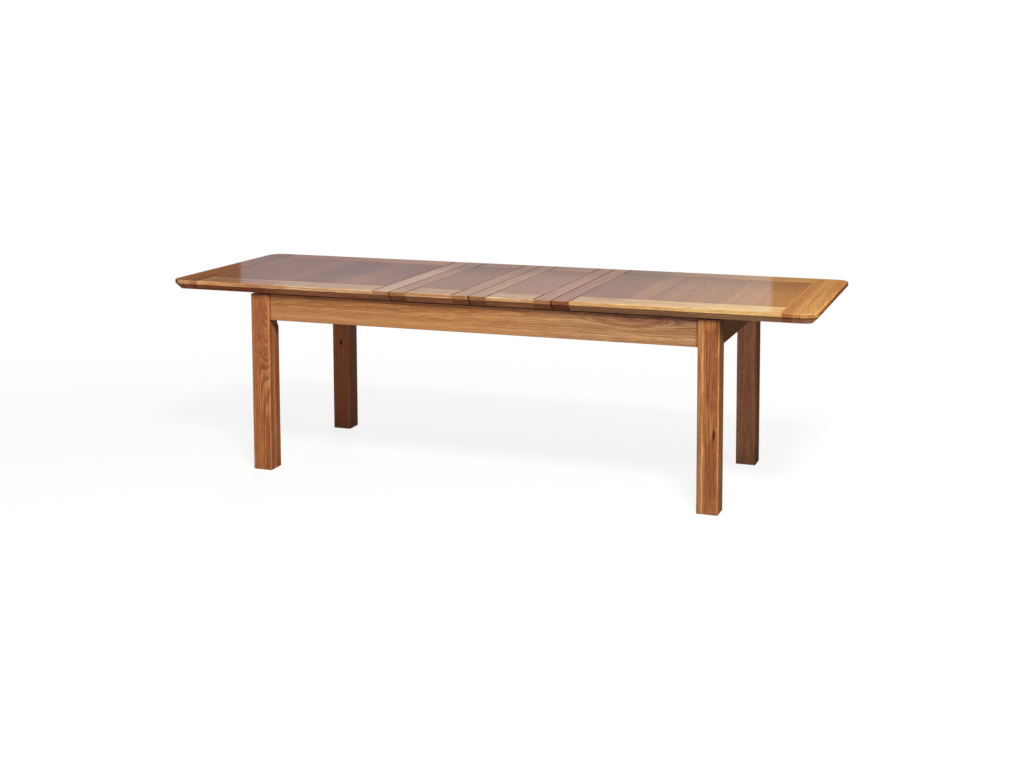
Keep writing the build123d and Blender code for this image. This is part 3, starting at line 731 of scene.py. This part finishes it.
# What tells the leaves apart. Cut ends are the end grain of the inner and the outer rail, and curls
# the swells in the front rail. The rails' blue-heavy tones are painted sheen, as on the left half of
# the top, and the inner and outer rails and the panel carry the painted shade at the back end.
LEAVES = {
    "left": dict(
        seed=31.0, shades=dict(inner=1.02, outer=1.05, front=1.03, panel=0.8), rail_tone=(1, 1.05, 1.2),
        outer_tone=(1, 1.08, 1.3), cut_ends=(0.55, 0.6),
        curls=[((0.0, -0.015, 0), (0.035, 0.012, 0.1), 0.014)]),
    "right": dict(
        seed=37.0, shades=dict(inner=1.0, outer=0.84, front=1.03, panel=0.93), rail_tone=(1, 1.13, 1.3),
        outer_tone=(1.05, 1.0, 1.2), cut_ends=(0.8, 0.32), curls=[]),
}


def leaf_boards(side, seed, shades, rail_tone, outer_tone, cut_ends, curls):
    """The boards of one leaf: which side, the seed of its first log, the shades of its boards, the tones
    of its rails and of its outer one, and what else the table of leaves gives."""
    leaf = f"leaf_{side}"
    other = "right" if side == "left" else "left"
    return {
        f"{leaf}_inner_rail": Board(
            "Y", seed, (0.03, 0, -0.08), (0.4, 0.4), shade=shades["inner"], tone=rail_tone, pale=0.4,
            ends=cut_ends[0], joints=(side,), seams=(other,), patches=[PAINTED_FAR_SHADE]),
        f"{leaf}_outer_rail": Board(
            "Y", seed + 1.4, (-0.02, 0, -0.1), (0.5, 0.3), shade=shades["outer"], tone=outer_tone, pale=0.3,
            ends=cut_ends[1], joints=(other,), seams=(side,), patches=[PAINTED_FAR_SHADE]),
        f"{leaf}_front_rail": Board(
            "X", seed + 2.2, (0, 0.03, -0.09), (0.5, 0.4), shade=shades["front"], tone=rail_tone, pale=0.7,
            heart=0.35, swells=curls, joints=("left", "right", "back"),
            # Painted shading under the front edge: a dark line under the band and a tint on the sloped face
            stripes=painted_edge_shading((1.1, 0.88, 0.88))),
        f"{leaf}_back_rail": Board(
            # The back rail's low shade is painted shade, for the darker reflection at the back of the top
            "X", seed + 3.3, (0, 0.02, -0.1), (0.4, 0.6), shade=0.66 * shades["front"], pale=0.3,
            tone=(1.08, 1.0, 1.1), joints=("left", "right", "front")),
        f"{leaf}_panel": Board(
            "Y", seed + 4.5, (0, 0, -0.08), (0.7, 0.5), shade=shades["panel"], tone=(0.96, 1.02, 1.25),
            staves=("X", PANEL_STAVE), heart=0.9, figure=0.25, streak=0.4, patches=[PAINTED_FAR_SHADE],
            joints=("left", "right", "front", "back")),
    }


# ---------------------------------------------------------------- hidden woods and fittings

def finish(tree, shader, colour, smears, edges, relief):
    """The finish of a plain piece: the smears that hands leave (position, roughness, spread, shade), its
    rubbed edges (position, width, colour, amount) and its relief (strength, depth, height)."""
    smears = dict(zip(("Position", "Roughness", "Spread", "Shade"), smears))
    patina = tree.group("patina", {"Color": colour, **smears})
    position, width, rubbed, amount = edges
    bright = four([min(1.0, value) for value in rubbed])
    edge = tree.group("arris", {"Color": patina["Color"], "Position": position, "Width": width,
                                "Rubbed": bright, "Amount": amount})
    tree.feed(shader["Base Color"], edge["Color"])
    tree.feed(shader["Roughness"], patina["Roughness"])
    relief = dict(zip(("Strength", "Distance", "Height"), relief))
    tree.feed(shader["Normal"], tree.node("ShaderNodeBump", {**relief, "Normal": edge["Normal"]}).outputs[0])


def plain_wood(name, colour, grain, seed):
    """Unfinished, lightly figured hardwood of the parts that stay out of sight."""
    low, high = BOXES[name]
    material, tree, shader = new_material(f"wood_{name}")
    places = tree.node("ShaderNodeTexCoord").outputs
    pith = (low + high) / 2 + Vector((0.02, 0.03, -0.06))
    board = log_place(tree, places["Object"], pith, grain, (0.5, 0.6))
    wood = tree.group("oak_figure", {
        "Board": board, "Seed": seed, "Ring Width": 0.004, "Wander": 0.008, "Figure": 0.3, "Streak": 0.6,
        "Fleck": 0.15, "Pores": 0.25, "Swell": 0.0, "Light": four(colour),
        "Dark": four(shaded(colour, 0.62)), "Heart": four(shaded(colour, 0.85)),
    })
    ends = tree.group("end_grain", {"Color": wood["Color"], "Normal": places["Normal"], "Axis": AXES[grain],
                                    "Tint": (0.7, 0.6, 0.5, 1), "Amount": 0.7})
    finish(tree, shader, ends["Color"], (places["Object"], 0.62, 0.15, 0.15),
            (places["Object"], 0.001, shaded(colour, 1.2), 0.7), (0.4, 0.0003, wood["Height"]))
    dress(name, material)


# The fittings' surfaces: metallic, roughness, specks to a metre, depth of the relief, spread of shade
FITTINGS = {
    "zinc_steel": (1.0, 0.34, 900, 0.00003, 0.25),
    "glide_plastic": (0.0, 0.45, 300, 0.00005, 0.06),
    "felt": (0.0, 0.95, 1400, 0.0006, 0.5),
}


def fitting_material(name, colour):
    """Metal, plastic or felt: a colour broken up by fine noise, rubbed lighter at its edges."""
    metallic, roughness, specks, depth, spread = FITTINGS[name]
    material, tree, shader = new_material(name)
    spot = tree.node("ShaderNodeTexCoord").outputs["Object"]
    speck = tree.noise(tree.scale(spot, (specks,) * 3), 3.0, 0.6)
    shade = tree.mix(tree.ramp(speck, 0.3, 0.7), four(shaded(colour, 1 - spread)), four(colour))
    finish(tree, shader, shade, (tree.scale(spot, (6, 6, 6)), roughness, 0.25, 0.2),
            (spot, 0.0004, shaded(colour, 1.3), 0.8), (0.5, depth, speck))
    shader["Metallic"].default_value = metallic
    return material


# ---------------------------------------------------------------- settings

def a_colour(name, description, default):
    """A colour that a user would change."""
    return bpy.props.FloatVectorProperty(name=name, description=description, subtype="COLOR", size=3,
                                         min=0.0, max=1.0, default=default)


def a_number(name, description, default, low=0.0, **kind):
    """A number that a user would change."""
    return bpy.props.FloatProperty(name=name, description=description, default=default, min=low, **kind)


SHARE = {"max": 1.0, "subtype": "FACTOR"}
LENGTH = {"unit": "LENGTH"}
POWER = {"unit": "POWER"}


class TableOak(bpy.types.PropertyGroup):
    """Colours and finish of the oak."""
    light: a_colour("Light wood", "Late wood and sapwood of the boards", (0.56, 0.27, 0.095))
    dark: a_colour("Dark wood", "Early wood of the boards", (0.30, 0.115, 0.036))
    heart: a_colour("Heartwood", "Reddish heart that the darker boards turn to", (0.36, 0.135, 0.05))
    pale: a_colour("Pale boards", "Light wood of the palest boards", (0.76, 0.49, 0.22))
    ends: a_colour("End grain", "What end grain multiplies the colour of its board by", (0.5, 0.34, 0.28))
    # The arrises' lighter wood is partly wear and partly a painted highlight along them
    edge: a_colour("Arrises", "Wood of the eased edges, where it is rubbed lighter", (0.80, 0.50, 0.21))
    roughness: a_number("Roughness", "Of the wood under the lacquer", 0.4, **SHARE)
    lacquer: a_number("Lacquer", "Roughness of the lacquer", 0.09, **SHARE)
    arris: a_number("Arris", "Radius of the eased edges", 0.0012, **LENGTH)
    joint: a_number("Joint line", "Width of the dark lines where boards meet", 0.006, **LENGTH)
    pore_depth: a_number("Pore depth", "Depth of the open grain", 0.0002, **LENGTH)


class TableFittings(bpy.types.PropertyGroup):
    """Colours of the parts under the top."""
    runner: a_colour("Runners", "Plain hardwood of the slides, stretchers and battens", (0.50, 0.33, 0.19))
    dowel: a_colour("Dowels", "Beech of the dowels", (0.62, 0.42, 0.26))
    zinc: a_colour("Zinc", "Plated steel of screws and bolts", (0.60, 0.61, 0.62))
    glide: a_colour("Glides", "Plastic of the glide strips", (0.62, 0.60, 0.55))
    felt: a_colour("Felt", "Felt of the floor pads", (0.16, 0.13, 0.11))


class TableStage(bpy.types.PropertyGroup):
    """Floor, light and camera."""
    floor: a_colour("Floor", "Colour of the floor, as it lights the table", (0.27, 0.215, 0.22))
    ambient: a_number("Ambient", "Strength of the even light from all round", 0.12)
    key: a_number("Key lamp", "Power of the large lamp at the front right", 690.0, **POWER)
    overhead: a_number("Overhead lamp", "Power of the lamp over the table", 26.0, **POWER)
    back: a_number("Back lamp", "Power of the lamp behind the table, at the left", 125.0, **POWER)
    fill: a_number("Fill lamp", "Power of the low lamp in front", 26.0, **POWER)
    card: a_number("Card", "Brightness of the card that the top reflects", 0.31)
    glow: a_number("Warm card", "Brightness of the warm card beside it", 0.36)
    lens: a_number("Lens", "Focal length of the camera in millimetres", 52.5645, low=1.0)


# ---------------------------------------------------------------- operators

class TABLE_OT_legs(bpy.types.Operator):
    """Finish the four oak legs"""
    bl_idname = "extension_table.legs"
    bl_label = "Legs"

    def execute(self, context):
        cut_oak(LEGS)
        return {"FINISHED"}


class TABLE_OT_aprons(bpy.types.Operator):
    """Finish the four oak aprons"""
    bl_idname = "extension_table.aprons"
    bl_label = "Aprons"

    def execute(self, context):
        cut_oak(APRONS)
        return {"FINISHED"}


class TABLE_OT_halves(bpy.types.Operator):
    """Finish the boards of the two halves of the top"""
    bl_idname = "extension_table.halves"
    bl_label = "Halves of the top"

    def execute(self, context):
        for side, look in HALVES.items():
            cut_oak(half_boards(side, **look))
        return {"FINISHED"}


class TABLE_OT_leaves(bpy.types.Operator):
    """Finish the boards of the two leaves"""
    bl_idname = "extension_table.leaves"
    bl_label = "Leaves"

    def execute(self, context):
        for side, look in LEAVES.items():
            cut_oak(leaf_boards(side, **look))
        return {"FINISHED"}


class TABLE_OT_slides(bpy.types.Operator):
    """Finish the guide rails, runners, stretchers, battens, blocks and dowels"""
    bl_idname = "extension_table.slides"
    bl_label = "Slides and blocks"

    def execute(self, context):
        fittings = context.scene.extension_table_fittings
        names = sorted(name for name in NODES if "screws" not in name and any(
            word in name for word in ("guide_rail", "runner", "stretcher", "batten", "block", "dowel")))
        for number, name in enumerate(names):
            along = "Y" if "stretcher" in name or "batten" in name else "X"
            along = "Z" if "stop_blocks" in name else along
            colour = fittings.dowel if "dowel" in name else fittings.runner
            plain_wood(name, tuple(colour), along, 41.0 + 1.7 * number)
        return {"FINISHED"}


class TABLE_OT_fittings(bpy.types.Operator):
    """Finish the screws, bolts, glide strips and floor pads"""
    bl_idname = "extension_table.fittings"
    bl_label = "Fittings"

    def execute(self, context):
        fittings = context.scene.extension_table_fittings
        zinc = fitting_material("zinc_steel", tuple(fittings.zinc))
        glide = fitting_material("glide_plastic", tuple(fittings.glide))
        felt = fitting_material("felt", tuple(fittings.felt))
        for name in NODES:
            if "screws" in name or "hanger" in name:
                dress(name, zinc)
        dress("glide_strips", glide)
        dress("floor_pads", felt)
        return {"FINISHED"}


def surface(name, points):
    """A mesh on a grid of points: rows and columns of X, Y and Z, joined by four-sided faces."""
    rows, columns = points.shape[:2]
    index = np.arange(rows * columns).reshape(rows, columns)
    corners = [index[:-1, :-1], index[:-1, 1:], index[1:, 1:], index[1:, :-1]]
    faces = np.stack(corners, axis=-1).reshape(-1, 4)
    mesh = bpy.data.meshes.new(name)
    mesh.from_pydata(points.reshape(-1, 3).tolist(), [], faces.tolist())
    made = bpy.data.objects.new(name, mesh)
    bpy.context.scene.collection.objects.link(made)
    return made


def sheet_points(start, across, up):
    """Four corners of a flat sheet: a start, that plus one way, and both of these plus the other way."""
    start, across, up = (np.array(value, float) for value in (start, across, up))
    return np.array([[start, start + across], [start + up, start + across + up]])


def glow_material(name, colour, strength, right_colour=None, limits=(0.0, 1.0), rise=None):
    """A surface that gives one even brightness, or one that changes colour along X between two limits and
    brightens with height: from and to which height, and from and to what share."""
    material = bpy.data.materials.new(name)
    tree = bare_tree(material)
    shade = four(colour)
    place = tree.parts(tree.node("ShaderNodeTexCoord").outputs["Object"])
    if right_colour:
        shade = tree.mix(tree.ramp(place[0], *limits), shade, four(right_colour))
    if rise:
        strength = tree.times(tree.ramp(place[2], *rise, smooth=False), strength)
    glow = tree.node("ShaderNodeEmission", {"Color": shade, "Strength": strength})
    tree.node("ShaderNodeOutputMaterial", {"Surface": glow.outputs[0]})
    return material


def only_in_gloss(made):
    """Let a stage piece show in reflections and nowhere else."""
    for way in ("camera", "diffuse", "transmission", "volume_scatter", "shadow"):
        setattr(made, f"visible_{way}", False)


def seen_directly(tree):
    """1 for rays from the camera and for reflected and refracted ones, else 0."""
    path = tree.node("ShaderNodeLightPath").outputs
    seen = tree.math("MAXIMUM", path["Is Camera Ray"], path["Is Glossy Ray"])
    return tree.math("MAXIMUM", seen, path["Is Transmission Ray"])


def area_lamp(name, place, target, size, power, colour):
    """A soft rectangular lamp aimed at a point."""
    data = bpy.data.lights.new(name, "AREA")
    data.shape = "RECTANGLE"
    data.size, data.size_y = size
    data.energy = power
    data.color = colour
    lamp = bpy.data.objects.new(name, data)
    lamp.location = place
    lamp.rotation_euler = (Vector(target) - Vector(place)).to_track_quat("-Z", "Y").to_euler()
    bpy.context.scene.collection.objects.link(lamp)
    return lamp


# The camera: place in metres, turn in degrees, and lens shift
CAMERA_PLACE = (2.09424, -5.69832, 1.67933)
CAMERA_TURN = (84.5836, 0.1911, 19.9915)
CAMERA_SHIFT = -0.17969
# The colours of the light from all round and of most lamps
AMBIENT = (1, 0.88, 0.82)
SOFT_WHITE = (1.0, 0.98, 0.96)
# The lamps: place, what they are aimed at, size and colour
LAMPS = {
    "key": ((2.6, -4.85, 5.8), (0, -0.2, 0.4), (1.8, 1.8), (1.0, 0.97, 0.93)),
    "overhead": ((2.0, 0.0, 2.3), (1.4, 0, 0.77), (1.2, 1.2), SOFT_WHITE),
    "back": ((-2.6, 5.2, 3.4), (0, 0.2, 0.4), (2.2, 2.2), SOFT_WHITE),
    "fill": ((1.0, -6.5, 0.9), (0, 0, 0.5), (3.0, 1.2), SOFT_WHITE),
}
# The floor: its half width, its colour where it is seen, and how its own white takes over from that:
# from and to which distance, and from and to what share
FLOOR_REACH = 40.0
FLOOR_SEEN = (0.95, 0.95, 0.95)
FLOOR_WHITE = (0.9, 2.6, 0.86, 1.0)
# The surround: radius, height and how far over the floor it lies, then colour and brightness
SURROUND = (12.0, 9.0, 0.0005)
SURROUND_GLOW = ((1, 0.6, 0.35), 0.08)
# The card: its two lower corners, its height, its colours, from where to where along X one turns to the
# other, and how it brightens with height, as the floor does with distance
CARD_LEFT = (-2.965, 2.927, 0.02)
CARD_RIGHT = (0.348, 4.148, 0.02)
CARD_HEIGHT = 3
CARD_COLOURS = ((1.0, 1.0, 1.16), (1.5, 1.36, 1.22))
CARD_TURN = (-1.5, 0.4)
CARD_RISE = (1.22, 1.46, 0.84, 1.12)
# The warm card beside it: its width as a share of the card's, and its colour
WARM_WIDTH = 0.4
WARM_COLOUR = (1.0, 0.58, 0.22)


class TABLE_OT_stage(bpy.types.Operator):
    """Set the pale floor, the lamps and the camera"""
    bl_idname = "extension_table.stage"
    bl_label = "Stage"

    def execute(self, context):
        settings = context.scene.extension_table_stage
        self.floor(settings)
        self.world(context.scene, settings)
        self.reflections(settings)
        self.lamps(settings)
        self.camera(context.scene, settings)
        context.scene.view_settings.view_transform = "Standard"
        return {"FINISHED"}

    def floor(self, settings):
        """A pale floor that looks white but keeps a light shadow."""
        side = 2 * FLOOR_REACH
        floor = surface("floor", sheet_points((-FLOOR_REACH, -FLOOR_REACH, 0), (side, 0, 0), (0, side, 0)))
        material = bpy.data.materials.new("floor")
        tree = bare_tree(material)
        seen = seen_directly(tree)
        shade = tree.mix(seen, four(settings.floor), four(FLOOR_SEEN))
        matt = tree.node("ShaderNodeBsdfDiffuse", {"Color": shade})
        white = tree.node("ShaderNodeEmission", {"Color": (1, 1, 1, 1), "Strength": 1.0})
        spot = tree.node("ShaderNodeTexCoord").outputs["Object"]
        reach = tree.vector("LENGTH", tree.scale(spot, (0.6, 1, 1)))
        share = tree.times(seen, tree.ramp(reach, *FLOOR_WHITE))
        both = tree.node("ShaderNodeMixShader", {0: share, 1: matt.outputs[0], 2: white.outputs[0]})
        tree.node("ShaderNodeOutputMaterial", {"Surface": both.outputs[0]})
        floor.data.materials.append(material)

    def world(self, scene, settings):
        """An even light from all round, which looks white where it is seen."""
        world = bpy.data.worlds.new("studio")
        tree = bare_tree(world)
        ambient = tree.node("ShaderNodeBackground", {"Color": four(AMBIENT), "Strength": settings.ambient})
        white = tree.node("ShaderNodeBackground", {"Color": (1, 1, 1, 1), "Strength": 1.0})
        seen = seen_directly(tree)
        both = tree.node("ShaderNodeMixShader", {0: seen, 1: ambient.outputs[0], 2: white.outputs[0]})
        tree.node("ShaderNodeOutputWorld", {"Surface": both.outputs[0]})
        scene.world = world

    def reflections(self, settings):
        """A pale card behind the table, a warm one beside it and a dark surround, which only reflections
        show. The surround is a disc just over the floor with a wall round it."""
        radius, height, lift = SURROUND
        turn = np.linspace(0, 2 * math.pi, 49)
        ring = np.stack([np.cos(turn), np.sin(turn), np.zeros_like(turn)], axis=-1)
        rows = [ring * 0.0, ring * radius, ring * radius + (0, 0, height)]
        surround = surface("surround", np.stack(rows) + (0, 0, lift))
        surround.data.materials.append(glow_material("surround", *SURROUND_GLOW))
        left, right = np.array(CARD_LEFT), np.array(CARD_RIGHT)
        up = (0, 0, CARD_HEIGHT)
        card = surface("card", sheet_points(left, right - left, up))
        card.data.materials.append(glow_material("card", CARD_COLOURS[0], settings.card, CARD_COLOURS[1],
                                                 CARD_TURN, CARD_RISE))
        glow = surface("glow", sheet_points(right, WARM_WIDTH * (right - left), up))
        glow.data.materials.append(glow_material("glow", WARM_COLOUR, settings.glow))
        for made in (surround, card, glow):
            only_in_gloss(made)

    def lamps(self, settings):
        """A large lamp at the front right, one over the table, one behind it and a low one in front. The
        one behind doesn't show in the gloss."""
        for name, (place, target, size, colour) in LAMPS.items():
            lamp = area_lamp(name, place, target, size, getattr(settings, name), colour)
            lamp.visible_glossy = name != "back"

    def camera(self, scene, settings):
        """The camera at the front right, level with a standing eye."""
        data = bpy.data.cameras.new("camera")
        data.lens = settings.lens
        data.sensor_width = 36.0
        data.shift_y = CAMERA_SHIFT
        data.clip_end = 200.0
        camera = bpy.data.objects.new("camera", data)
        camera.location = CAMERA_PLACE
        camera.rotation_euler = [math.radians(angle) for angle in CAMERA_TURN]
        scene.collection.objects.link(camera)
        scene.camera = camera


PIECES = (TABLE_OT_legs, TABLE_OT_aprons, TABLE_OT_halves, TABLE_OT_leaves, TABLE_OT_slides,
          TABLE_OT_fittings, TABLE_OT_stage)
SETTINGS = {"extension_table_oak": TableOak, "extension_table_fittings": TableFittings,
            "extension_table_stage": TableStage}


class TABLE_PT_panel(bpy.types.Panel):
    """Lists the table's settings and the operators that make it"""
    bl_label = "Extension dining table"
    bl_idname = "TABLE_PT_panel"
    bl_space_type = "VIEW_3D"
    bl_region_type = "UI"
    bl_category = "Table"

    def draw(self, context):
        for attribute, kind in SETTINGS.items():
            for name in kind.__annotations__:
                self.layout.prop(getattr(context.scene, attribute), name)
        for operator in PIECES:
            self.layout.operator(operator.bl_idname)


def register():
    for kind in (*SETTINGS.values(), *PIECES, TABLE_PT_panel):
        bpy.utils.register_class(kind)
    for attribute, kind in SETTINGS.items():
        setattr(bpy.types.Scene, attribute, bpy.props.PointerProperty(type=kind))


def unregister():
    for attribute in SETTINGS:
        delattr(bpy.types.Scene, attribute)
    for kind in (TABLE_PT_panel, *reversed(PIECES), *reversed(list(SETTINGS.values()))):
        bpy.utils.unregister_class(kind)


def main():
    register()
    build_groups()
    for operator in PIECES:
        family, name = operator.bl_idname.split(".")
        getattr(getattr(bpy.ops, family), name)()


if __name__ == "__main__":
    main()
